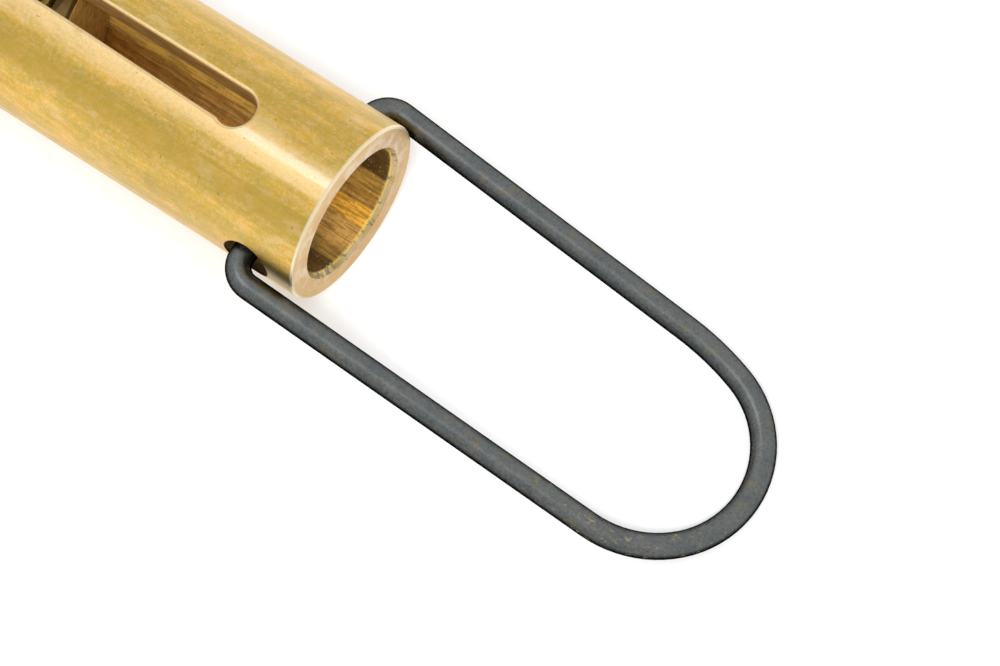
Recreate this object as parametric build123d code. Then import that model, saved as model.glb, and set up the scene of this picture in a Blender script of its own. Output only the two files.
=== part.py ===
from build123d import *
import os
from math import asin, cos, degrees, radians, sqrt

# Brass tip-cleaning brush: slotted barrel, sliding brush carrier, wire bail, screwed nose.
# Millimetres, +Z up. The tool lies on its side with the barrel axis along X, the mouth and
# the bail towards +X, the slot on top. Most stations are distances from the mouth.

# ---- driving dimensions ----
BARREL_OD = 12.0
BARREL_LENGTH = 72.0
BORE_D = 8.6
MOUTH_EDGE = 0.23           # radial size of the broken inner edge at the mouth
MOUTH_EDGE_DEPTH = 0.47

# The slot is milled by hand: its sides lie at different distances from the mid plane and
# one of them runs out towards the mouth.
SLOT_LEFT = 1.1             # side towards +Y
SLOT_RIGHT = 1.03           # side towards -Y
SLOT_RUNOUT = 0.24
SLOT_RUNOUT_FROM = 21.0
SLOT_EDGE_R = 0.22          # rounding of the outer edge
SLOT_END_D = 2.5
SLOT_END_OFFSET = -0.15     # the end holes are drilled off the mid plane
SLOT_REAR = 7.81            # centre of the drilled end nearest the mouth
SLOT_FRONT = 38.4           # centre of the other drilled end

PIVOT_HOLE_D = 3.2
PIVOT_HOLE_AT = 3.51
PIVOT_AT = 3.35

WIRE_D = 1.6
WIRE_BEND_R = 1.45
WIRE_END_Y = 4.4            # wire ends stay inside the wall
WIRE_END_STEP = 0.465       # each end lies this far off the pivot axis, on opposite sides

# The bail is bent by hand: its legs differ and its round end is made of three arcs.
UPPER_LEG = (7.152, 23.35, 6.265)     # width at the pivot, length, width at its end
ROUND_END = ((17.9, 14.2), (6.4, 115.7), (6.9, 47.6))   # radius and angle of each arc

CARRIER_D = 8.5
CARRIER_REAR = 20.45
CARRIER_SLANT = 15          # degrees by which its rear end is cut out of square
CARRIER_LENGTH = 24.0
STEM_D = 2.5
STEM_REAR = 22.0
STEM_SEAT = 5.0             # length of stem inside the ferrule

SCREW_AT = 24.27
SCREW_D = 3.9
SCREW_TOP = 3.15            # above the barrel axis
SCREW_TIP = 1.35
SCREW_SOCKET = 2.5          # across flats
SPOT_FACE_D = 5.94
SPOT_FACE_FLOOR = 2.9

STUD_AT = 28.45
STUD_D = 1.8
STUD_SPIGOT_D = 1.4
STUD_SEAT = 3.95            # height of the stud shoulder above the axis
SHOE_LENGTH = 9.0
SHOE_WIDTH = 6.0
SHOE_TOP = 7.2
BUTTON_D = 7.0
BUTTON_TOP = 9.9
BUTTON_FLUTES = 24

SPRING_FROM = 30.0
SPRING_LENGTH = 13.0
SPRING_WIDTH = 2.4
SPRING_THICK = 0.25

NOSE_LENGTH = 22.0          # from the barrel front to the tip
NOSE_SPIGOT_D = 9.3
NOSE_SPIGOT_LENGTH = 8.5
HEX_FLATS = 12.0
HEX_LENGTH = 7.0
RING_THICK = 0.6
NOSE_BORE_D = 6.64
TIP_HOLE_D = 5.6
TIP_WALL = 1.4
TIP_D = 7.8

BUSH_LENGTH = 8.0
BUSH_BORE_D = 5.1
FERRULE_D = 5.0
FERRULE_LENGTH = 14.0
FERRULE_REACH = 1.2         # ferrule front beyond the nose tip
CUP_D = 4.2
CUP_DEPTH = 8.0
BRISTLE_LENGTH = 15.0       # free length
BRISTLE_TIP_D = 4.7

CLEARANCE = 0.05            # radial, sliding and turning fits

# ---- derived dimensions ----
BARREL_R = BARREL_OD / 2
BORE_R = BORE_D / 2
WIRE_R = WIRE_D / 2
AXIS_Z = BARREL_R
NOSE_TIP = BARREL_LENGTH + NOSE_LENGTH
FERRULE_FRONT = NOSE_TIP + FERRULE_REACH
FERRULE_REAR = FERRULE_FRONT - FERRULE_LENGTH
BRISTLE_FRONT = FERRULE_FRONT + BRISTLE_LENGTH


def bail_centreline():
    """Centreline of the flat bail: pivot axis along Y through the origin, round end at +X."""
    width, length, end_width = UPPER_LEG
    slope = (end_width - width) / length
    upper_corner = (WIRE_END_STEP, width + slope * WIRE_END_STEP)
    upper_end = (length, end_width)
    legs = [
        FilletPolyline(
            (WIRE_END_STEP, WIRE_END_Y), upper_corner, upper_end, radius=WIRE_BEND_R
        )
    ]
    arcs = []
    start = Vector(*upper_end)
    heading = Vector(1, slope)
    for radius, angle in ROUND_END:
        arc = JernArc(start, heading, radius, -angle)
        start = arc @ 1
        heading = arc % 1
        arcs.append(arc)
    run = (-WIRE_END_STEP - start.X) / heading.X
    lower_corner = start + heading * run
    legs.append(
        FilletPolyline(
            start, lower_corner, (-WIRE_END_STEP, -WIRE_END_Y), radius=WIRE_BEND_R
        )
    )
    edges = legs[0].edges() + arcs + legs[1].edges()
    return Wire(edges)


# The bail hangs down until the underside of its round end is level with the barrel.
BAIL_PATH = bail_centreline()
APEX = BAIL_PATH.bounding_box().max.X
DROOP_ANGLE = degrees(asin((BARREL_R - WIRE_R) / APEX))
BAIL_REACH = APEX * cos(radians(DROOP_ANGLE)) + WIRE_R - PIVOT_AT

# The middle of the overall length is at X = 0.
MOUTH_X = (BRISTLE_FRONT - BAIL_REACH) / 2
AXIS = Axis((0, 0, AXIS_Z), (1, 0, 0))


def station(distance, height=0.0):
    """Location on the mid plane, a distance from the mouth and a height above the axis."""
    return Pos(MOUTH_X - distance, 0, AXIS_Z + height)


def turned(profile):
    """Solid of revolution about the barrel axis from (distance from mouth, radius) points."""
    points = [(MOUTH_X - distance, 0, AXIS_Z + radius) for distance, radius in profile]
    return revolve(make_face(Polyline(*points, close=True)), AXIS, 360)


def rod(diameter, start, end):
    """Plain round bar on the barrel axis between two distances from the mouth."""
    return station((start + end) / 2) * Cylinder(diameter / 2, end - start, rotation=(0, 90, 0))


def upright(diameter, distance, low, high):
    """Round bar along Z between two heights above the axis."""
    return station(distance, (low + high) / 2) * Cylinder(diameter / 2, high - low)


def block(length, width, distance, low, high):
    """Box centred at a distance from the mouth, between two heights above the axis."""
    return station(distance, (low + high) / 2) * Box(length, width, high - low)


def slot_outline():
    """Slot seen from above, with the mouth's end face at X = 0."""
    corners = [
        (-SLOT_FRONT, SLOT_LEFT),
        (-SLOT_REAR, SLOT_LEFT),
        (-SLOT_REAR, -SLOT_RIGHT - SLOT_RUNOUT),
        (-SLOT_RUNOUT_FROM, -SLOT_RIGHT),
        (-SLOT_FRONT, -SLOT_RIGHT),
    ]
    outline = make_face(Polyline(*corners, close=True))
    outline += Pos(-SLOT_REAR, SLOT_END_OFFSET) * Circle(SLOT_END_D / 2)
    outline += Pos(-SLOT_FRONT, SLOT_END_OFFSET) * Circle(SLOT_END_D / 2)
    return outline


def slot_rim(barrel):
    """Edges where the slot breaks through the outside of the barrel."""
    lowest = AXIS_Z + BARREL_R - 0.4
    return [
        edge
        for edge in barrel.edges()
        if edge.center().Z > lowest and 0.3 < abs(edge.center().Y) < SLOT_END_D
    ]


def make_barrel():
    """Tube with a chamfered mouth, a seat for the nose, the slot and the pivot holes."""
    seat_r = NOSE_SPIGOT_D / 2 + CLEARANCE
    seat_depth = NOSE_SPIGOT_LENGTH + 0.5
    barrel = turned([
        (0, BORE_R + MOUTH_EDGE),
        (0, BARREL_R - 0.19),
        (0.06, BARREL_R - 0.06),
        (0.19, BARREL_R),
        (BARREL_LENGTH - 0.3, BARREL_R),
        (BARREL_LENGTH, BARREL_R - 0.3),
        (BARREL_LENGTH, seat_r + 0.25),
        (BARREL_LENGTH - 0.25, seat_r),
        (BARREL_LENGTH - seat_depth, seat_r),
        (BARREL_LENGTH - seat_depth, BORE_R),
        (MOUTH_EDGE_DEPTH, BORE_R),
    ])
    barrel -= station(0, 2.0) * extrude(slot_outline(), 8.0)
    barrel = fillet(slot_rim(barrel), SLOT_EDGE_R)
    hole = Cylinder(PIVOT_HOLE_D / 2, BARREL_OD + 4, rotation=(90, 0, 0))
    barrel -= station(PIVOT_HOLE_AT) * hole
    return barrel


def make_bail():
    """Bent wire: two pivot ends pointing inwards, two legs and a round end."""
    start = Plane(origin=BAIL_PATH @ 0, z_dir=BAIL_PATH % 0)
    wire = sweep(start * Circle(WIRE_R), path=BAIL_PATH)
    return station(PIVOT_AT) * Rot(0, DROOP_ANGLE, 0) * wire


def make_carrier():
    """Slider in the bore, drilled for the stem, the clamp screw and the thumb stud."""
    front = CARRIER_REAR + CARRIER_LENGTH
    outer = CARRIER_D / 2
    hole = STEM_D / 2 + 0.02
    carrier = turned([
        (CARRIER_REAR - outer, 0),
        (CARRIER_REAR - outer, outer),
        (front - 0.6, outer),
        (front, outer - 0.6),
        (front, hole),
        (STEM_REAR - 0.1, hole),
        (STEM_REAR - 0.1, 0),
    ])
    waste = Pos(outer, 0, 0) * Box(CARRIER_D, 2 * CARRIER_D, 2 * CARRIER_D)
    carrier -= station(CARRIER_REAR) * Rot(0, 0, CARRIER_SLANT) * waste
    carrier = chamfer(carrier.faces().sort_by(Axis.X)[-1].edges(), 0.22)
    carrier -= upright(SPOT_FACE_D, SCREW_AT, SPOT_FACE_FLOOR, 6.0)
    carrier -= upright(SCREW_D + 2 * CLEARANCE, SCREW_AT, 0.0, 4.0)
    carrier -= upright(STUD_D + 0.2, STUD_AT, STUD_SEAT, 6.0)
    carrier -= upright(STUD_SPIGOT_D + 0.04, STUD_AT, 2.2, 5.0)
    middle = SPRING_FROM + SPRING_LENGTH / 2
    carrier -= block(SPRING_LENGTH + 1.0, SPRING_WIDTH + 0.3, middle, -5.0, -2.9)
    return carrier


def make_clamp_screw():
    """Headless screw with a hexagon socket, pressing on the stem."""
    height = SCREW_TOP - SCREW_TIP
    screw = Cylinder(SCREW_D / 2, height)
    screw = chamfer(screw.edges().filter_by(GeomType.CIRCLE), 0.2)
    socket = extrude(RegularPolygon(SCREW_SOCKET / 2, 6, major_radius=False), 1.1)
    screw -= Pos(0, 0, height / 2 - 1.0) * Rot(0, 0, -11) * socket
    return station(SCREW_AT, (SCREW_TOP + SCREW_TIP) / 2) * screw


def make_thumb_stud():
    """Stepped pin: spigot in the carrier, shank in the slot, spigot in the button."""
    stud = upright(STUD_D, STUD_AT, STUD_SEAT, SHOE_TOP)
    stud += upright(STUD_SPIGOT_D, STUD_AT, 2.3, STUD_SEAT)
    stud += upright(STUD_SPIGOT_D, STUD_AT, SHOE_TOP, 9.0)
    return stud


def make_slide_shoe():
    """Saddle under the button, hollowed to ride on the barrel."""
    base = 5.0
    outline = RectangleRounded(SHOE_LENGTH, SHOE_WIDTH, 2.6)
    shoe = station(STUD_AT, base) * extrude(outline, SHOE_TOP - base)
    shoe = chamfer(shoe.faces().sort_by(Axis.Z)[-1].edges(), 0.3)
    shoe -= rod(BARREL_OD + 2 * CLEARANCE, STUD_AT - SHOE_LENGTH, STUD_AT + SHOE_LENGTH)
    shoe -= upright(STUD_D + 0.04, STUD_AT, 4.0, 8.0)
    return shoe


def make_thumb_button():
    """Button with a rounded top edge and fluted sides."""
    height = BUTTON_TOP - SHOE_TOP
    button = Cylinder(BUTTON_D / 2, height)
    button = fillet(button.faces().sort_by(Axis.Z)[-1].edges(), 0.9)
    button = chamfer(button.faces().sort_by(Axis.Z)[0].edges(), 0.25)
    flute = Cylinder(0.28, height + 1)
    ring = PolarLocations(BUTTON_D / 2 + 0.08, BUTTON_FLUTES)
    button -= [place * flute for place in ring]
    button -= Pos(0, 0, -height / 2) * Cylinder(STUD_SPIGOT_D / 2 + 0.02, 3.7)
    return station(STUD_AT, (BUTTON_TOP + SHOE_TOP) / 2) * button


def make_drag_spring():
    """Bowed leaf in the underside of the carrier; its crown rubs on the bore."""
    foot = -2.95
    crown = -(sqrt(BORE_R**2 - (SPRING_WIDTH / 2)**2) - 0.03)
    rear = MOUTH_X - SPRING_FROM
    middle = rear - SPRING_LENGTH / 2
    front = rear - SPRING_LENGTH
    upper = AXIS_Z + foot
    lower = upper - SPRING_THICK
    outside = ThreePointArc((rear, 0, lower), (middle, 0, AXIS_Z + crown), (front, 0, lower))
    inside = ThreePointArc(
        (rear, 0, upper), (middle, 0, AXIS_Z + crown + SPRING_THICK), (front, 0, upper)
    )
    ends = [
        Line((rear, 0, lower), (rear, 0, upper)),
        Line((front, 0, lower), (front, 0, upper)),
    ]
    profile = make_face(Curve() + [outside, inside] + ends)
    return extrude(profile, SPRING_WIDTH / 2, both=True)


def make_brush_stem():
    """Round stem of the brush with a pointed-off rear end."""
    front = FERRULE_REAR + STEM_SEAT
    radius = STEM_D / 2
    return turned([
        (STEM_REAR, 0),
        (STEM_REAR, radius - 0.3),
        (STEM_REAR + 0.3, radius),
        (front, radius),
        (front, 0),
    ])


def make_brush_ferrule():
    """Cup that holds the bristles, with two crimped grooves and a bored rear end."""
    radius = FERRULE_D / 2
    stem_hole = STEM_D / 2 + 0.02
    cup_r = CUP_D / 2
    cup_floor = FERRULE_FRONT - CUP_DEPTH
    crimp_a = FERRULE_REAR + 1.6
    crimp_b = crimp_a + 1.8
    return turned([
        (FERRULE_REAR, stem_hole),
        (FERRULE_REAR, radius - 0.4),
        (FERRULE_REAR + 0.4, radius),
        (crimp_a, radius),
        (crimp_a + 0.3, radius - 0.3),
        (crimp_a + 0.6, radius - 0.3),
        (crimp_a + 0.9, radius),
        (crimp_b, radius),
        (crimp_b + 0.3, radius - 0.3),
        (crimp_b + 0.6, radius - 0.3),
        (crimp_b + 0.9, radius),
        (FERRULE_FRONT - 0.35, radius),
        (FERRULE_FRONT, radius - 0.2),
        (FERRULE_FRONT, cup_r),
        (cup_floor, cup_r),
        (cup_floor, 0.9),
        (FERRULE_REAR + STEM_SEAT + 0.2, 0.9),
        (FERRULE_REAR + STEM_SEAT + 0.2, stem_hole),
    ])


def make_bristles():
    """Envelope of the wire bundle, slightly flared towards the tips."""
    seat_r = CUP_D / 2 - 0.02
    tip_r = BRISTLE_TIP_D / 2
    return turned([
        (FERRULE_FRONT - CUP_DEPTH + 0.02, 0),
        (FERRULE_FRONT - CUP_DEPTH + 0.02, seat_r),
        (FERRULE_FRONT, seat_r),
        (BRISTLE_FRONT - 0.5, tip_r),
        (BRISTLE_FRONT, tip_r - 0.4),
        (BRISTLE_FRONT, 0),
    ])


def make_nose():
    """Nose with a spigot for the barrel, a hexagon and a grooved cone."""
    bore_r = NOSE_BORE_D / 2
    spigot_r = NOSE_SPIGOT_D / 2
    spigot_rear = BARREL_LENGTH - NOSE_SPIGOT_LENGTH
    hex_rear = BARREL_LENGTH + RING_THICK
    hex_front = hex_rear + HEX_LENGTH
    corner_r = HEX_FLATS / sqrt(3)
    flat_r = HEX_FLATS / 2
    shelf = NOSE_TIP - TIP_WALL

    prism = extrude(RegularPolygon(flat_r, 6, major_radius=False), HEX_LENGTH)
    prism = Pos(MOUTH_X - hex_rear, 0, AXIS_Z) * Rot(0, -90, 0) * Rot(0, 0, 30) * prism
    rounding = turned([
        (hex_rear, 0),
        (hex_rear, flat_r - 0.1),
        (hex_rear + 0.6, corner_r),
        (hex_front - 0.6, corner_r),
        (hex_front, flat_r - 0.1),
        (hex_front, 0),
    ])
    nose = prism & rounding
    nose += turned([
        (spigot_rear, 0),
        (spigot_rear, spigot_r - 0.5),
        (spigot_rear + 0.5, spigot_r),
        (BARREL_LENGTH - 0.8, spigot_r),
        (BARREL_LENGTH - 0.8, spigot_r - 0.3),
        (hex_rear, spigot_r - 0.3),
        (hex_rear, 0),
    ])
    cone_rear = hex_front + 0.8
    nose += turned([
        (hex_front, 0),
        (hex_front, 5.0),
        (cone_rear, 5.0),
        (cone_rear, 5.5),
        (cone_rear + 0.3, 5.7),
        (cone_rear + 2.6, 5.7),
        (NOSE_TIP - 0.5, TIP_D / 2),
        (NOSE_TIP, TIP_D / 2 - 0.5),
        (NOSE_TIP, 0),
    ])
    nose -= turned([
        (spigot_rear, 0),
        (spigot_rear, bore_r + 0.8),
        (spigot_rear + 0.8, bore_r),
        (shelf, bore_r),
        (shelf, TIP_HOLE_D / 2),
        (NOSE_TIP - 0.3, TIP_HOLE_D / 2),
        (NOSE_TIP, TIP_HOLE_D / 2 + 0.3),
        (NOSE_TIP, 0),
    ])
    for index in range(4):
        rear = cone_rear + 3.2 + 1.5 * index
        depth = 5.2 - 0.22 * index
        nose -= turned([(rear, depth), (rear, 7.0), (rear + 0.6, 7.0), (rear + 0.6, depth)])
    return nose


def make_nose_ring():
    """Flat rubber ring between the barrel and the hexagon."""
    inner = NOSE_SPIGOT_D / 2 - 0.28
    outer = BARREL_R - 0.25
    rear = BARREL_LENGTH + 0.01
    front = BARREL_LENGTH + RING_THICK - 0.01
    return turned([(rear, inner), (rear, outer), (front, outer), (front, inner)])


def make_guide_bush():
    """Plain bush in the nose; the ferrule runs in it."""
    rear = NOSE_TIP - TIP_WALL - BUSH_LENGTH
    front = NOSE_TIP - TIP_WALL
    outer = NOSE_BORE_D / 2 - 0.02
    inner = BUSH_BORE_D / 2
    return turned([
        (rear, inner + 0.4),
        (rear, outer),
        (front - 0.01, outer),
        (front - 0.01, inner),
        (rear + 0.4, inner),
    ])


nodes = {
    "barrel": make_barrel(),
    "bail": make_bail(),
    "carrier": make_carrier(),
    "clamp_screw": make_clamp_screw(),
    "thumb_stud": make_thumb_stud(),
    "slide_shoe": make_slide_shoe(),
    "thumb_button": make_thumb_button(),
    "drag_spring": make_drag_spring(),
    "brush_stem": make_brush_stem(),
    "brush_ferrule": make_brush_ferrule(),
    "bristles": make_bristles(),
    "nose": make_nose(),
    "nose_ring": make_nose_ring(),
    "guide_bush": make_guide_bush(),
}

os.makedirs("parts", exist_ok=True)
for name, solid in nodes.items():
    solid.label = name
    export_step(solid, f"parts/{name}.step")
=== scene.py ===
import math
import random

import bmesh
import bpy
from mathutils import Matrix, Vector


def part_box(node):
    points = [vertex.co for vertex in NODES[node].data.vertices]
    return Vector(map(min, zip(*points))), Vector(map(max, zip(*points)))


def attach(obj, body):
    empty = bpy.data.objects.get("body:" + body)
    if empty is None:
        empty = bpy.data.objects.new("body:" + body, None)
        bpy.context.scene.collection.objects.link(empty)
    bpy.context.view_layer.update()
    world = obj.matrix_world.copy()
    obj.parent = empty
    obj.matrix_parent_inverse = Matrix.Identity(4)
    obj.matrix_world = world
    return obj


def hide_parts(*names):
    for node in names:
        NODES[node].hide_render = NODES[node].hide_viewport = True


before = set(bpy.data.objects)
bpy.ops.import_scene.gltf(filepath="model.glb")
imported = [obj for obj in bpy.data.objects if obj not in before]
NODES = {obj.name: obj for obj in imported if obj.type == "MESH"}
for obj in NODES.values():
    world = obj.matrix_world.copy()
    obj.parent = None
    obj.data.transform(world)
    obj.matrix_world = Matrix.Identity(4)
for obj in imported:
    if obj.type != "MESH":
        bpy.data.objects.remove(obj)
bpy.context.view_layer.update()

MM = 0.001

# ---- where things are, read from the CAD ----
barrel_low, barrel_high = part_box("barrel")
MOUTH = Vector((barrel_high.x, 0.0, (barrel_low.z + barrel_high.z) / 2))
BARREL_R = (barrel_high.z - barrel_low.z) / 2 / MM

# ---- details of the CAD that the materials follow, in mm and radians ----
BORE_R = 4.3
MOUTH_EDGE_R = 4.53             # the broken inner edge of the mouth ends here
MOUTH_EDGE_DEPTH = 0.47
OUTER_EDGE_R = 5.80             # the rounded outer edges lie between this radius and the skin
SLOT_FLOOR_Z = 3.0              # the slot's walls are all higher than this
SLOT_BEHIND = -0.8              # the slot and the pivot holes are all further in than this
PIVOT_AT = 3.35                 # the bail's axis, from the mouth
PIVOT_HOLE_AT = 3.51
PIVOT_HOLE_R = 1.6
BAIL_DROOP = math.radians(9.26)
CARRIER_END_AT = 20.45          # the carrier's rear end, from the mouth
CARRIER_SLANT = math.radians(15)


class Shader:
    """One node material. Its coordinates are millimetres from the middle of the mouth."""

    def __init__(self, name):
        self.material = bpy.data.materials.new(name)
        self.material.use_nodes = True
        self.tree = self.material.node_tree
        self.surface = self.tree.nodes["Principled BSDF"]
        here = self.node("ShaderNodeTexCoord").outputs["Object"]
        scale = (1 / MM, 1 / MM, 1 / MM)
        offset = tuple(-value / MM for value in MOUTH)
        self.place = self.vector("MULTIPLY_ADD", here, scale, offset)
        parts = self.node("ShaderNodeSeparateXYZ", None, self.place).outputs
        self.x, self.y, self.z = parts["X"], parts["Y"], parts["Z"]
        across = self.vector("MULTIPLY", self.place, (0, 1, 1))
        self.radius = self.length(across)
        self.normal = None

    def put(self, value, socket):
        """Links a socket, or sets a plain number, vector or colour."""
        if isinstance(value, bpy.types.NodeSocket):
            self.tree.links.new(value, socket)
        elif isinstance(value, (tuple, list)) and socket.type == "RGBA":
            socket.default_value = tuple(value) + (1.0,) * (4 - len(value))
        else:
            socket.default_value = value

    def node(self, kind, settings=None, *values, **named):
        node = self.tree.nodes.new(kind)
        for key, value in (settings or {}).items():
            setattr(node, key, value)
        for index, value in enumerate(values):
            self.put(value, node.inputs[index])
        for key, value in named.items():
            self.put(value, node.inputs[key])
        return node

    def vector(self, operation, *values):
        node = self.node("ShaderNodeVectorMath", {"operation": operation}, *values)
        return node.outputs["Vector"]

    def length(self, vector):
        node = self.node("ShaderNodeVectorMath", {"operation": "LENGTH"}, vector)
        return node.outputs["Value"]

    def combined(self, x, y, z):
        return self.node("ShaderNodeCombineXYZ", None, x, y, z).outputs["Vector"]

    def math(self, operation, *values):
        return self.node("ShaderNodeMath", {"operation": operation}, *values).outputs["Value"]

    def stretched(self, along, up=1.0, shift=0.0):
        """Coordinates squeezed along X by one factor and across by another."""
        return self.vector("MULTIPLY_ADD", self.place, (along, up, up), (shift, shift, shift))

    def noise(self, where, scale, detail=3.0, roughness=0.55):
        node = self.node("ShaderNodeTexNoise", {"noise_dimensions": "3D"})
        self.put(where, node.inputs["Vector"])
        self.put(scale, node.inputs["Scale"])
        self.put(detail, node.inputs["Detail"])
        self.put(roughness, node.inputs["Roughness"])
        return node.outputs["Fac"]

    def ramp(self, value, low, high, start=0.0, end=1.0):
        """Smooth step from start to end while the value goes from low to high."""
        node = self.node("ShaderNodeMapRange", {"interpolation_type": "SMOOTHSTEP"})
        for index, item in enumerate((value, low, high, start, end)):
            self.put(item, node.inputs[index])
        return node.outputs["Result"]

    def band(self, value, low, high, soft):
        """One between low and high, falling to zero over the soft width outside them."""
        rise = self.ramp(value, low - soft, low)
        fall = self.ramp(value, high, high + soft, 1.0, 0.0)
        return self.math("MULTIPLY", rise, fall)

    def both(self, *masks):
        """Multiplies masks together."""
        result = masks[0]
        for mask in masks[1:]:
            result = self.math("MULTIPLY", result, mask)
        return result

    def mix(self, amount, first, second, blend="MIX"):
        node = self.node("ShaderNodeMix", {"data_type": "RGBA", "blend_type": blend})
        self.put(amount, node.inputs[0])
        self.put(first, node.inputs[6])
        self.put(second, node.inputs[7])
        return node.outputs[2]

    def level(self, amount, first, second):
        """Mixes two plain values."""
        node = self.node("ShaderNodeMix", {"data_type": "FLOAT"})
        self.put(amount, node.inputs[0])
        self.put(first, node.inputs[2])
        self.put(second, node.inputs[3])
        return node.outputs[0]

    def brighten(self, colour, factor):
        """Multiplies a colour by a value."""
        return self.mix(1.0, colour, self.combined(factor, factor, factor), "MULTIPLY")

    def bump(self, height, depth, strength=1.0):
        """Adds relief of that depth in millimetres."""
        node = self.node("ShaderNodeBump", None, Height=height)
        self.put(strength, node.inputs["Strength"])
        self.put(depth * MM, node.inputs["Distance"])
        if self.normal is not None:
            self.put(self.normal, node.inputs["Normal"])
        self.normal = node.outputs["Normal"]

    def done(self, **values):
        """Sets the surface's inputs; an underscore in a name stands for a space."""
        for key, value in values.items():
            self.put(value, self.surface.inputs[key.replace("_", " ")])
        if self.normal is not None:
            self.put(self.normal, self.surface.inputs["Normal"])
        return self.material


# ---- materials ----
# Colours of the brass.
GOLD = (0.680, 0.415, 0.074)
OLIVE = (0.540, 0.390, 0.075)
PINK = (0.720, 0.430, 0.185)
CREAM = (0.735, 0.505, 0.195)
AMBER = (0.630, 0.370, 0.026)
BROWN = (0.250, 0.130, 0.035)
# The next two are painted highlights along the barrel's crown: a paler band and a brighter line.
HIGHLIGHT_BAND = (0.740, 0.540, 0.280)
HIGHLIGHT_LINE = (0.860, 0.800, 0.620)
DARK_LINE = (0.470, 0.310, 0.045)
# Painted reflection of the bail's wire, below the pivot hole.
WIRE_REFLECTION = (0.190, 0.140, 0.035)
DIRT = (0.400, 0.280, 0.070)
HAZE = (0.780, 0.600, 0.320)


def mottled_brass(shader, shift=0.0):
    """Handled brass: soft yellow, olive and pinkish blotches, a fine grain and drawn lines."""
    blotches = shader.noise(shader.stretched(0.7, 1.0, shift), 0.95, 4.0, 0.6)
    warm = shader.noise(shader.stretched(0.8, 1.0, shift + 31.0), 1.5, 4.0, 0.65)
    grain = shader.noise(shader.stretched(0.8, 1.0, shift), 5.6, 4.0, 0.8)
    lines = shader.noise(shader.stretched(0.09, 1.0, shift + 7.0), 1.2, 3.0, 0.6)
    hair = shader.noise(shader.stretched(0.06, 1.0, shift + 3.0), 8.0, 2.0, 0.6)
    colour = shader.mix(shader.ramp(blotches, 0.40, 0.62), GOLD, OLIVE)
    colour = shader.mix(shader.ramp(warm, 0.46, 0.68, 0.0, 0.60), colour, PINK)
    colour = shader.mix(shader.ramp(lines, 0.42, 0.60, 0.45, 0.0), colour, OLIVE)
    colour = shader.mix(shader.ramp(grain, 0.50, 0.62, 0.0, 0.75), colour, CREAM)
    colour = shader.mix(shader.ramp(grain, 0.36, 0.49, 0.75, 0.0), colour, AMBER)
    value = shader.ramp(lines, 0.30, 0.70, 0.86, 1.04)
    value = shader.math("MULTIPLY", value, shader.ramp(hair, 0.30, 0.70, 0.96, 1.04))
    value = shader.math("MULTIPLY", value, shader.ramp(warm, 0.30, 0.70, 0.96, 1.04))
    return shader.brighten(colour, value), lines, hair, grain


def barrel_outside(shader):
    """The skin. Returns its colour, the fine hair lines and the grain."""
    outside, lines, hair, grain = mottled_brass(shader)
    angle = shader.math("ARCTAN2", shader.y, shader.z)      # from the crown, towards +Y

    # A painted highlight runs along the crown beside the slot as a paler band, with a brighter
    # painted highlight line near the mouth, and a darker line lies below it.
    swayed = shader.math("ADD", angle, shader.math("MULTIPLY_ADD", lines, 0.24, -0.12))
    highlight_band = shader.band(swayed, -0.32, -0.16, 0.15)
    highlight_band = shader.both(highlight_band, shader.ramp(grain, 0.30, 0.60, 0.35, 0.85))
    outside = shader.mix(highlight_band, outside, HIGHLIGHT_BAND)
    frayed = shader.math("ADD", angle, shader.math("MULTIPLY_ADD", hair, 0.05, -0.025))
    highlight_line = shader.both(
        shader.band(frayed, -0.225, -0.180, 0.055),
        shader.ramp(shader.x, -9.0, -5.5, 0.10, 0.55),
        shader.ramp(grain, 0.30, 0.55, 0.50, 1.0),
    )
    outside = shader.mix(highlight_line, outside, HIGHLIGHT_LINE)
    dark_line = shader.math("MULTIPLY", shader.band(swayed, -0.80, -0.68, 0.10), 0.55)
    outside = shader.mix(dark_line, outside, DARK_LINE)

    # A painted reflection of the bail's wire below the pivot hole, patches of dirt and of paler
    # haze, and small dark pits.
    under = shader.both(shader.band(angle, -1.64, -1.40, 0.10), shader.ramp(shader.x, -2.9, -2.3))
    outside = shader.mix(shader.math("MULTIPLY", under, 0.65), outside, WIRE_REFLECTION)
    dirt = shader.noise(shader.stretched(0.6, 1.0, 71.0), 0.42, 5.0, 0.7)
    outside = shader.mix(shader.ramp(dirt, 0.56, 0.72, 0.0, 0.50), outside, DIRT)
    outside = shader.mix(shader.ramp(dirt, 0.28, 0.44, 0.35, 0.0), outside, HAZE)
    pits = shader.noise(shader.stretched(0.8, 1.0, 50.0), 3.6, 1.0, 0.5)
    outside = shader.mix(shader.ramp(pits, 0.735, 0.775, 0.0, 0.5), outside, BROWN)

    # The rim round the mouth is burnished, and painted paler as a highlight on its rounded edge.
    rim = shader.both(
        shader.ramp(shader.x, -0.24, -0.12),
        shader.ramp(shader.radius, OUTER_EDGE_R - 0.02, OUTER_EDGE_R + 0.04),
    )
    outside = shader.mix(shader.math("MULTIPLY", rim, 0.8), outside, (0.88, 0.76, 0.54))
    return outside, hair, grain


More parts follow.
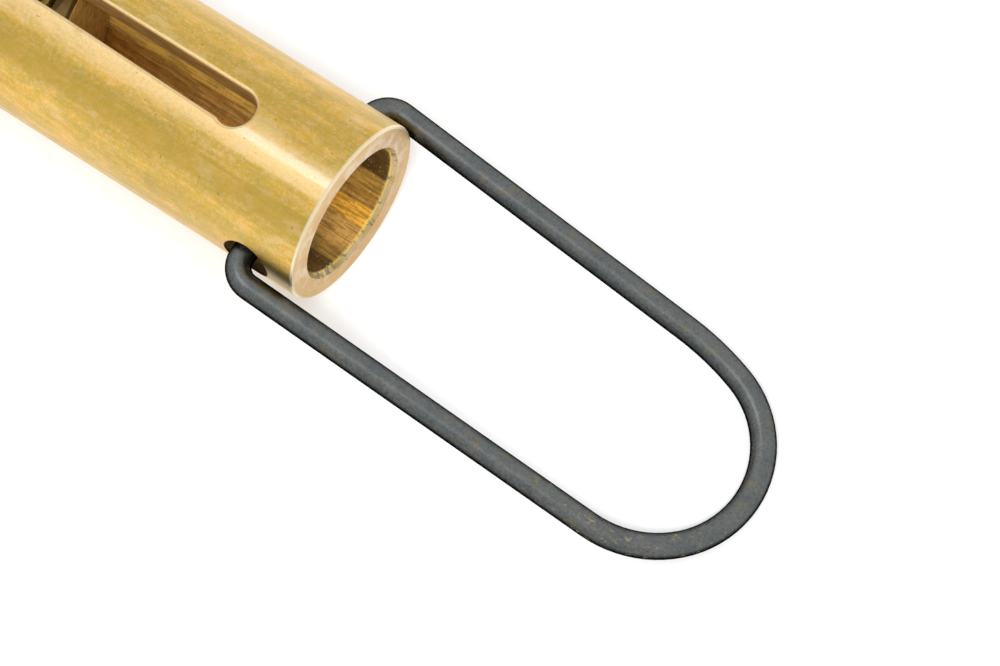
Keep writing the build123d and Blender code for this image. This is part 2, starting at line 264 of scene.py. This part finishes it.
def barrel_bore(shader):
    """The bore, discoloured in lengthwise bands, some of them painted shade and painted highlight.
    Returns its colour and its streaks.
    """
    x = shader.x
    streaks = shader.noise(shader.stretched(0.08, 1.0, 17.0), 1.7, 4.0, 0.7)
    rings = shader.noise(shader.stretched(1.0, 0.12, 9.0), 5.2, 3.0, 0.7)
    flecks = shader.noise(shader.stretched(1.3, 1.0, 23.0), 5.5, 3.0, 0.7)
    scratches = shader.noise(shader.stretched(0.10, 1.0, 27.0), 5.5, 3.0, 0.75)

    # The angle is zero at the bottom of the bore, and positive towards +Y.
    angle = shader.math("ARCTAN2", shader.y, shader.math("MULTIPLY", shader.z, -1.0))
    angle = shader.math("ADD", angle, shader.math("MULTIPLY_ADD", streaks, 0.20, -0.10))

    def bands_of_tarnish_and_painted_light(bore, bands):
        """Lays bands over the bore: start, end and soft width, colour, amount."""
        for low, high, soft, tint, amount in bands:
            band_amount = shader.math("MULTIPLY", shader.band(angle, low, high, soft), amount)
            bore = shader.mix(band_amount, bore, tint)
        return bore

    bore = shader.mix(shader.ramp(streaks, 0.42, 0.58), (0.66, 0.35, 0.065), (1.00, 0.60, 0.16))
    # Lengthwise bands: two dark ones of painted shade on the sides, a gold one of painted
    # highlight, and an olive one.
    bore = bands_of_tarnish_and_painted_light(bore, (
        (0.80, 0.95, 0.05, (1.00, 0.64, 0.13), 1.00),
        (-0.46, -0.26, 0.10, (0.80, 0.55, 0.12), 0.80),
        (-1.20, -0.58, 0.10, (0.16, 0.09, 0.02), 0.90),
        (1.06, 1.50, 0.10, (0.20, 0.13, 0.03), 0.90),
    ))

    # Near the mouth it is darker, with painted shade almost black on both sides, and two brighter
    # bands, the orange one a painted highlight.
    at_end = shader.ramp(x, -6.5, -2.0)
    bore = shader.mix(shader.math("MULTIPLY", at_end, 0.70), bore, (0.270, 0.125, 0.016))
    for low, high in ((-1.30, -0.50), (1.06, 1.70)):
        shadow = shader.both(shader.band(angle, low, high, 0.09), at_end)
        bore = shader.mix(shader.math("MULTIPLY", shadow, 0.88), bore, (0.075, 0.042, 0.010))
    bore = bands_of_tarnish_and_painted_light(bore, (
        (0.24, 0.44, 0.08, (1.00, 0.52, 0.06), 0.95),
        (-0.10, 0.16, 0.10, (0.72, 0.42, 0.11), 0.70),
    ))

    scratched = shader.both(
        shader.ramp(x, -6.5, -2.0, 0.70, 1.0), shader.ramp(scratches, 0.36, 0.60, 0.50, -0.15)
    )
    bore = shader.brighten(bore, shader.math("SUBTRACT", 1.0, scratched))
    bore = shader.brighten(bore, shader.ramp(rings, 0.32, 0.68, 0.88, 1.06))
    bore = shader.mix(shader.ramp(flecks, 0.60, 0.72, 0.0, 0.6), bore, (1.00, 0.72, 0.34))
    return bore, streaks


def barrel_mouth(shader):
    """The faced mouth and its broken inner edge. Returns their colours."""
    # The face is cream, yellower towards the rim, with faint arcs of the facing tool.
    radius = shader.radius
    arcs = shader.noise(shader.combined(radius, 0.0, 0.0), 5.0, 3.0, 0.7)
    patches = shader.noise(shader.stretched(1.0, 1.0, 5.0), 0.8, 4.0, 0.65)
    speckle = shader.noise(shader.stretched(1.0, 1.0, 15.0), 4.0, 3.0, 0.7)
    face = shader.mix(shader.ramp(patches, 0.38, 0.60), (0.74, 0.60, 0.43), (0.64, 0.41, 0.17))
    face = shader.mix(shader.ramp(radius, 5.0, 5.7, 0.0, 0.55), face, (0.72, 0.52, 0.22))
    face = shader.mix(shader.ramp(shader.z, -5.0, 2.0, 0.65, 0.0), face, (0.58, 0.36, 0.11))
    face = shader.mix(shader.ramp(speckle, 0.58, 0.72, 0.0, 0.6), face, (0.50, 0.38, 0.20))
    face = shader.brighten(face, shader.ramp(arcs, 0.30, 0.70, 0.93, 1.07))

    # The inner edge has a thin bright line at the bore and a few grey-green specks.
    specks = shader.noise(shader.stretched(1.0, 1.0, 61.0), 1.5, 3.0, 0.7)
    edge = shader.mix(shader.ramp(patches, 0.40, 0.60), (0.66, 0.50, 0.27), (0.56, 0.39, 0.16))
    edge = shader.mix(shader.ramp(radius, 4.35, 4.41, 1.0, 0.0), edge, (0.86, 0.62, 0.14))
    edge = shader.mix(shader.ramp(specks, 0.53, 0.60, 0.0, 0.85), edge, (0.22, 0.21, 0.13))
    return face, edge


def barrel_slot(shader, grain):
    """The slot's walls, brown with lengthwise cutter marks, and its rounded edge, painted pale and
    orange as a highlight.
    """
    cutter = shader.noise(shader.stretched(0.12, 1.0, 40.0), 4.0, 3.0, 0.65)
    wall = shader.mix(shader.ramp(cutter, 0.35, 0.65), (0.38, 0.22, 0.060), (0.66, 0.40, 0.135))
    # The pale lip and its orange lower part are painted highlight.
    lip = shader.mix(shader.ramp(grain, 0.38, 0.62), (0.90, 0.74, 0.44), (0.86, 0.64, 0.30))
    lower = shader.ramp(shader.radius, OUTER_EDGE_R, OUTER_EDGE_R + 0.08, 0.85, 0.0)
    return wall, shader.mix(lower, lip, (0.82, 0.47, 0.13))


def barrel_material():
    """Skin, bore, mouth, slot and pivot holes, told apart by radius and distance."""
    shader = Shader("barrel_brass")
    x, z, radius = shader.x, shader.z, shader.radius
    outside, hair, grain = barrel_outside(shader)
    bore, streaks = barrel_bore(shader)
    face, edge = barrel_mouth(shader)
    wall, lip = barrel_slot(shader, grain)

    # Masks.
    in_bore = shader.ramp(radius, BORE_R + 0.02, BORE_R + 0.06, 1.0, 0.0)
    in_wall = shader.ramp(radius, BORE_R + 0.02, BORE_R + 0.06)
    behind_mouth = shader.ramp(x, SLOT_BEHIND - 0.2, SLOT_BEHIND, 1.0, 0.0)
    cut = shader.both(
        in_wall, behind_mouth, shader.ramp(radius, OUTER_EDGE_R, OUTER_EDGE_R + 0.12, 1.0, 0.0)
    )
    rounded = shader.both(
        shader.both(shader.ramp(z, SLOT_FLOOR_Z, SLOT_FLOOR_Z + 0.4), behind_mouth),
        shader.ramp(radius, OUTER_EDGE_R - 0.14, OUTER_EDGE_R),
        shader.ramp(radius, BARREL_R - 0.050, BARREL_R - 0.015, 1.0, 0.0),
    )
    from_pivot = shader.length(shader.combined(shader.math("ADD", x, PIVOT_HOLE_AT), 0.0, z))
    hole = shader.both(
        shader.ramp(from_pivot, PIVOT_HOLE_R + 0.02, PIVOT_HOLE_R + 0.05, 1.0, 0.0), in_wall
    )
    on_face = shader.both(
        shader.ramp(x, -0.05, -0.02),
        in_wall,
        shader.ramp(radius, OUTER_EDGE_R, OUTER_EDGE_R + 0.06, 1.0, 0.0),
    )
    inner_edge = shader.both(
        shader.ramp(x, -MOUTH_EDGE_DEPTH - 0.02, -MOUTH_EDGE_DEPTH + 0.01),
        in_wall,
        shader.ramp(radius, MOUTH_EDGE_R, MOUTH_EDGE_R + 0.03, 1.0, 0.0),
    )
    skin = shader.ramp(radius, BARREL_R - 0.02, BARREL_R - 0.005)

    # Colour.
    # The walls of the pivot holes are nearly black.
    dark_hole_wall = shader.mix(
        shader.ramp(streaks, 0.4, 0.6), (0.10, 0.05, 0.015), (0.20, 0.11, 0.03)
    )
    colour = shader.mix(cut, outside, wall)
    # The slot's rounded edge gets its painted highlight.
    colour = shader.mix(rounded, colour, lip)
    colour = shader.mix(in_bore, colour, bore)
    colour = shader.mix(hole, colour, dark_hole_wall)
    colour = shader.mix(on_face, colour, face)
    colour = shader.mix(inner_edge, colour, edge)

    # Roughness, metal under the tarnish, and relief.
    rough = shader.ramp(grain, 0.3, 0.7, 0.36, 0.46)
    rough = shader.level(cut, rough, 0.50)
    rough = shader.level(in_bore, rough, shader.ramp(streaks, 0.3, 0.7, 0.36, 0.50))
    rough = shader.level(on_face, rough, 0.5)
    metal = shader.level(in_bore, shader.level(cut, 1.0, 0.55), 0.12)
    shader.bump(grain, 0.006, shader.math("MULTIPLY", skin, 0.5))
    shader.bump(hair, 0.002, shader.math("MULTIPLY", skin, 0.5))
    shader.bump(streaks, 0.02, shader.math("MULTIPLY", in_bore, 0.4))
    return shader.done(
        Base_Color=colour, Metallic=metal, Roughness=rough, Coat_Weight=0.2, Coat_Roughness=0.3
    )


def turned_brass(name, along=1.0, tone=1.0, dull=0.34, shift=0.0):
    """Brass turned on a lathe: rings round the axis instead of lengthwise lines."""
    shader = Shader(name)
    blotches = shader.noise(shader.stretched(0.8, 1.0, shift), 0.5, 3.0, 0.6)
    rings = shader.noise(shader.stretched(along, 0.04, shift + 11.0), 6.0, 3.0, 0.7)
    grain = shader.noise(shader.stretched(1.0, 1.0, shift), 8.0, 2.0, 0.7)
    colour = shader.mix(shader.ramp(blotches, 0.40, 0.64), GOLD, OLIVE)
    colour = shader.mix(shader.ramp(grain, 0.50, 0.68, 0.0, 0.6), colour, PINK)
    colour = shader.brighten(colour, shader.ramp(rings, 0.28, 0.72, 0.86 * tone, 1.12 * tone))
    shader.bump(rings, 0.008, 0.5)
    rough = shader.ramp(grain, 0.3, 0.7, dull - 0.06, dull + 0.08)
    return shader.done(
        Base_Color=colour, Metallic=1.0, Roughness=rough, Coat_Weight=0.2, Coat_Roughness=0.25
    )


def carrier_material():
    """The slider: dull turned sides, painted dark as shade inside the barrel, and a cleaner end
    face cut a little out of square, with a painted shadow line along its edge.
    """
    shader = Shader("carrier_brass")
    slope = math.cos(CARRIER_SLANT)
    along = shader.math("MULTIPLY_ADD", shader.x, slope, CARRIER_END_AT * slope)
    across = shader.math("MULTIPLY", shader.y, math.sin(CARRIER_SLANT))
    from_end = shader.math("ADD", along, across)
    end_face = shader.ramp(from_end, -0.06, -0.02)
    edge = shader.math("SUBTRACT", shader.ramp(from_end, -0.32, -0.24), end_face)
    blotches = shader.noise(shader.stretched(0.8, 1.0, 5.0), 0.9, 3.0, 0.6)
    rings = shader.noise(shader.stretched(1.0, 0.04, 16.0), 6.0, 3.0, 0.7)
    saw = shader.noise(shader.stretched(1.0, 1.0, 26.0), 2.2, 4.0, 0.7)
    # The sides' dark brown is painted shade: they lie in the dark inside the barrel.
    side = shader.mix(
        shader.ramp(blotches, 0.40, 0.62), (0.200, 0.125, 0.038), (0.150, 0.098, 0.026)
    )
    side = shader.brighten(side, shader.ramp(rings, 0.28, 0.72, 0.82, 1.12))
    face = shader.mix(shader.ramp(saw, 0.36, 0.64), (0.62, 0.36, 0.090), (0.40, 0.21, 0.045))
    colour = shader.mix(end_face, side, face)
    # A painted shadow line runs along the edge of the end face.
    colour = shader.mix(edge, colour, (0.10, 0.060, 0.020))
    metal = shader.level(end_face, 0.75, 0.10)
    shader.bump(rings, 0.008, 0.5)
    shader.bump(saw, 0.015, shader.math("MULTIPLY", end_face, 0.6))
    rough = shader.ramp(rings, 0.3, 0.7, 0.40, 0.52)
    return shader.done(Base_Color=colour, Metallic=metal, Roughness=rough)


def drawn_brass(name, tone=1.0, dull=0.32, shift=0.0):
    """Bar or tube stock with its lengthwise drawing lines."""
    shader = Shader(name)
    colour, lines, hair, grain = mottled_brass(shader, shift)
    shader.bump(lines, 0.006, 0.5)
    shader.bump(hair, 0.003, 0.5)
    rough = shader.ramp(grain, 0.3, 0.7, dull - 0.06, dull + 0.08)
    colour = shader.brighten(colour, tone)
    return shader.done(
        Base_Color=colour, Metallic=1.0, Roughness=rough, Coat_Weight=0.2, Coat_Roughness=0.25
    )


def oxide_steel():
    """The bail: wire with a grey oxide, scuffed in places to a brownish yellow, with painted shade
    on its sides and underside.
    """
    shader = Shader("bail_oxide")
    cloud = shader.noise(shader.stretched(1.0), 0.7, 4.0, 0.6)
    grain = shader.noise(shader.stretched(1.0, 1.0, 12.0), 5.5, 3.0, 0.7)
    colour = shader.mix(
        shader.ramp(cloud, 0.38, 0.64), (0.140, 0.149, 0.144), (0.118, 0.129, 0.131)
    )
    colour = shader.brighten(colour, shader.ramp(grain, 0.28, 0.72, 0.84, 1.16))
    warm = shader.noise(shader.stretched(1.0, 1.0, 33.0), 1.3, 3.0, 0.6)
    colour = shader.mix(shader.ramp(warm, 0.54, 0.70, 0.0, 0.6), colour, (0.190, 0.160, 0.105))

    # Painted shade: the wire is darker on its sides and its underside than along its top.
    sag = math.sin(BAIL_DROOP)
    forward = shader.math("MULTIPLY_ADD", shader.x, sag, PIVOT_AT * sag)
    height = shader.math("MULTIPLY_ADD", shader.z, math.cos(BAIL_DROOP), forward)
    height = shader.math("ADD", height, shader.math("MULTIPLY_ADD", grain, 0.30, -0.15))
    colour = shader.brighten(colour, shader.ramp(height, 0.12, 0.80, 0.22, 1.04))
    scuffs = shader.noise(shader.stretched(0.5, 1.0, 80.0), 2.6, 5.0, 0.75)
    scuffs = shader.ramp(scuffs, 0.57, 0.68, 0.0, 0.85)
    worn = shader.both(
        scuffs, shader.ramp(shader.x, 16.0, 22.0), shader.ramp(shader.y, -2.6, -4.6)
    )
    specks = shader.noise(shader.stretched(1.0, 1.0, 90.0), 3.6, 2.0, 0.6)
    specks = shader.ramp(specks, 0.72, 0.77, 0.0, 0.4)
    colour = shader.mix(shader.math("MAXIMUM", worn, specks), colour, (0.42, 0.33, 0.18))
    shader.bump(grain, 0.006, 0.6)
    shader.bump(cloud, 0.02, 0.3)
    rough = shader.ramp(grain, 0.3, 0.7, 0.27, 0.40)
    dark_edge = (0.05, 0.05, 0.05)
    return shader.done(Base_Color=colour, Metallic=1.0, Roughness=rough, Specular_Tint=dark_edge)


def bright_steel():
    """The stud: turned bright, with faint rings."""
    shader = Shader("stud_steel")
    rings = shader.noise(shader.stretched(0.05, 1.0, 4.0), 9.0, 3.0, 0.7)
    cloud = shader.noise(shader.stretched(1.0), 1.2, 3.0, 0.6)
    colour = shader.mix(shader.ramp(cloud, 0.35, 0.65), (0.52, 0.52, 0.53), (0.44, 0.44, 0.46))
    shader.bump(rings, 0.004, 0.5)
    rough = shader.ramp(rings, 0.3, 0.7, 0.24, 0.40)
    return shader.done(Base_Color=colour, Metallic=1.0, Roughness=rough)


def moulded_plastic(name, dark, light, dull):
    """Plastic with the fine sand texture of its mould and slight polishing where it is handled."""
    shader = Shader(name)
    grain = shader.noise(shader.stretched(1.0), 9.0, 3.0, 0.7)
    cloud = shader.noise(shader.stretched(1.0, 1.0, 8.0), 0.6, 3.0, 0.6)
    colour = shader.mix(shader.ramp(cloud, 0.35, 0.65), dark, light)
    shader.bump(grain, 0.012, 0.6)
    rough = shader.ramp(cloud, 0.3, 0.7, dull - 0.08, dull + 0.08)
    return shader.done(Base_Color=colour, Roughness=rough, Specular_IOR_Level=0.4)


def brush_wire():
    """Bristle wire: bright brass, darkened towards the tips by flux stains."""
    shader = Shader("bristle_brass")
    strands = shader.noise(shader.stretched(0.03, 1.0, 2.0), 5.5, 3.0, 0.7)
    front = (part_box("bristles")[0].x - MOUTH.x) / MM
    stain = shader.noise(shader.stretched(0.6, 1.0, 70.0), 1.1, 3.0, 0.65)
    tips = shader.ramp(shader.x, front + 7.0, front - 0.5)
    colour = shader.mix(shader.ramp(strands, 0.35, 0.65), (0.78, 0.56, 0.17), (0.62, 0.40, 0.10))
    tips = shader.both(tips, shader.ramp(stain, 0.36, 0.60))
    colour = shader.mix(shader.math("MULTIPLY", tips, 0.75), colour, (0.20, 0.10, 0.035))
    rough = shader.ramp(stain, 0.3, 0.7, 0.24, 0.44)
    return shader.done(Base_Color=colour, Metallic=1.0, Roughness=rough)


# Colours of the plastics and the rubber.
BLACK = (0.018, 0.018, 0.019)
DARK_GREY = (0.030, 0.030, 0.031)
RUBBER_DARK = (0.012, 0.012, 0.012)
RUBBER_LIGHT = (0.022, 0.021, 0.020)
IVORY_DARK = (0.70, 0.67, 0.58)
IVORY_LIGHT = (0.78, 0.76, 0.69)

MATERIALS = {
    "barrel": barrel_material(),
    "bail": oxide_steel(),
    "carrier": carrier_material(),
    "clamp_screw": turned_brass("screw_brass", along=0.2, tone=1.05, dull=0.30, shift=15.0),
    "thumb_stud": bright_steel(),
    "slide_shoe": moulded_plastic("shoe_plastic", BLACK, DARK_GREY, 0.46),
    "thumb_button": turned_brass("button_brass", along=0.3, shift=25.0),
    "drag_spring": drawn_brass("spring_bronze", tone=0.8, shift=35.0),
    "brush_stem": drawn_brass("stem_brass", shift=45.0),
    "brush_ferrule": drawn_brass("ferrule_brass", tone=1.1, dull=0.26, shift=55.0),
    "nose": turned_brass("nose_brass", shift=65.0),
    "nose_ring": moulded_plastic("ring_rubber", RUBBER_DARK, RUBBER_LIGHT, 0.62),
    "guide_bush": moulded_plastic("bush_plastic", IVORY_DARK, IVORY_LIGHT, 0.42),
}
for name, material in MATERIALS.items():
    mesh = NODES[name].data
    for index in range(len(mesh.materials)):
        mesh.materials[index] = material


# ---- the brush: a bundle of fine wires in place of the plain bundle solid ----
WIRE_COUNT = 430
BRISTLE_R = 0.075               # mm, as the next three
ROOT_DEPTH = 3.0                # how far inside the ferrule the wires start
ROOT_R = 2.0                    # radius of the bundle there
TIP_INSET = 0.08
WIRE_SIDES = 5
WIRE_STEPS = 7
SEED = 7
GOLDEN_ANGLE = math.pi * (3 - math.sqrt(5))


def bristle_bundle():
    """Wires packed in a spiral, opening slightly towards uneven tips."""
    low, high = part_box("bristles")
    root_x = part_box("brush_ferrule")[0].x + ROOT_DEPTH * MM
    tip_x = low.x
    tip_r = (high.z - low.z) / 2 / MM - TIP_INSET
    middle = Vector((0, 0, (low.z + high.z) / 2))
    draw = random.Random(SEED)
    mesh = bmesh.new()
    for number in range(WIRE_COUNT):
        share = math.sqrt((number + 0.5) / WIRE_COUNT)
        turn = number * GOLDEN_ANGLE + draw.uniform(-0.1, 0.1)
        reach = draw.uniform(0.0, 0.6) ** 2 * 2.2
        sway = draw.uniform(-0.10, 0.10)
        drift = draw.uniform(-0.05, 0.05)
        rings = []
        for step in range(WIRE_STEPS + 1):
            part = step / WIRE_STEPS
            spread = min(ROOT_R + (tip_r - ROOT_R) * part**1.6 + drift * part, tip_r)
            out = min(share * spread, tip_r - BRISTLE_R)
            around = turn + sway * part * part
            x = root_x + (tip_x + reach * MM - root_x) * part
            y, z = out * MM * math.sin(around), out * MM * math.cos(around)
            centre = middle + Vector((x, y, z))
            ring = []
            for side in range(WIRE_SIDES):
                corner = 2 * math.pi * side / WIRE_SIDES
                offset = Vector((0, math.cos(corner), math.sin(corner))) * BRISTLE_R * MM
                ring.append(mesh.verts.new(centre + offset))
            rings.append(ring)
        for first, second in zip(rings, rings[1:]):
            for side in range(WIRE_SIDES):
                after = (side + 1) % WIRE_SIDES
                mesh.faces.new((first[side], first[after], second[after], second[side]))
        mesh.faces.new(rings[0][::-1])
        mesh.faces.new(rings[-1])
    bmesh.ops.recalc_face_normals(mesh, faces=mesh.faces)
    data = bpy.data.meshes.new("bristle_wires")
    mesh.to_mesh(data)
    mesh.free()
    for face in data.polygons:
        face.use_smooth = len(face.vertices) == 4
    wires = bpy.data.objects.new("bristle_wires", data)
    bpy.context.scene.collection.objects.link(wires)
    data.materials.append(brush_wire())
    return wires


wires = bristle_bundle()
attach(wires, "slider")
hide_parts("bristles")


# ---- camera ----
# The camera's place is given from the middle of the barrel's mouth.
CAMERA_FROM_MOUTH = Vector((75.002, -70.513, 215.296)) * MM
RIGHT = Vector((0.81463, 0.57747, -0.05385))
DOWN = Vector((0.51368, -0.76150, -0.39528))
FOCAL = 144.0

camera_data = bpy.data.cameras.new("Camera")
camera_data.lens = FOCAL
camera_data.sensor_width = 36.0
camera_data.clip_start = 0.01
camera_data.clip_end = 20.0
camera = bpy.data.objects.new("Camera", camera_data)
bpy.context.scene.collection.objects.link(camera)
right = RIGHT.normalized()
back = right.cross(-DOWN).normalized()
up = back.cross(right)
turn = Matrix((right, up, back)).transposed()
camera.matrix_world = Matrix.Translation(MOUTH + CAMERA_FROM_MOUTH) @ turn.to_4x4()
bpy.context.scene.camera = camera
bpy.context.scene.view_settings.view_transform = "Standard"


# ---- light and floor ----
def area_light(name, direction, distance, size, radiance, glossy=True):
    """A softbox aimed at the mouth of the barrel. A fill light leaves no highlight."""
    data = bpy.data.lights.new(name, "AREA")
    data.shape = "RECTANGLE"
    data.size, data.size_y = size
    data.energy = radiance * math.pi * size[0] * size[1]
    lamp = bpy.data.objects.new(name, data)
    towards = Vector(direction).normalized()
    lamp.matrix_world = Matrix.Translation(MOUTH + towards * distance) @ (
        towards.to_track_quat("Z", "Y").to_matrix().to_4x4()
    )
    lamp.visible_glossy = glossy
    bpy.context.scene.collection.objects.link(lamp)


area_light("Overhead", (-0.22, -0.24, 0.95), 0.60, (0.26, 0.16), 2.2)
area_light("SlotFill", (0.28, -0.43, 0.86), 0.60, (0.12, 0.12), 34.0, glossy=False)
area_light("MouthFill", (0.85, -0.10, 0.50), 0.60, (0.10, 0.10), 12.0, glossy=False)

world = bpy.data.worlds.new("World")
bpy.context.scene.world = world
world.use_nodes = True
background = world.node_tree.nodes["Background"]
background.inputs["Color"].default_value = (1.0, 1.0, 1.0, 1.0)
background.inputs["Strength"].default_value = 1.0

FLOOR_REACH = 3.0               # m, from the middle to each side
FLOOR_DROP = 0.0001             # m, so that it doesn't coincide with the underside

floor_mesh = bpy.data.meshes.new("Floor")
corners = [(FLOOR_REACH * i, FLOOR_REACH * j, 0) for i, j in ((-1, -1), (1, -1), (1, 1), (-1, 1))]
floor_mesh.from_pydata(corners, [], [(0, 1, 2, 3)])
floor = bpy.data.objects.new("Floor", floor_mesh)
floor.location.z = -FLOOR_DROP
bpy.context.scene.collection.objects.link(floor)
floor_material = bpy.data.materials.new("Floor")
floor_material.use_nodes = True
floor_surface = floor_material.node_tree.nodes["Principled BSDF"]
floor_surface.inputs["Base Color"].default_value = (0.76, 0.76, 0.77, 1)
floor_surface.inputs["Roughness"].default_value = 0.9
floor_surface.inputs["Specular IOR Level"].default_value = 0.1
floor_surface.inputs["Emission Color"].default_value = (1.0, 1.0, 1.0, 1.0)
floor_surface.inputs["Emission Strength"].default_value = 0.24
floor_mesh.materials.append(floor_material)
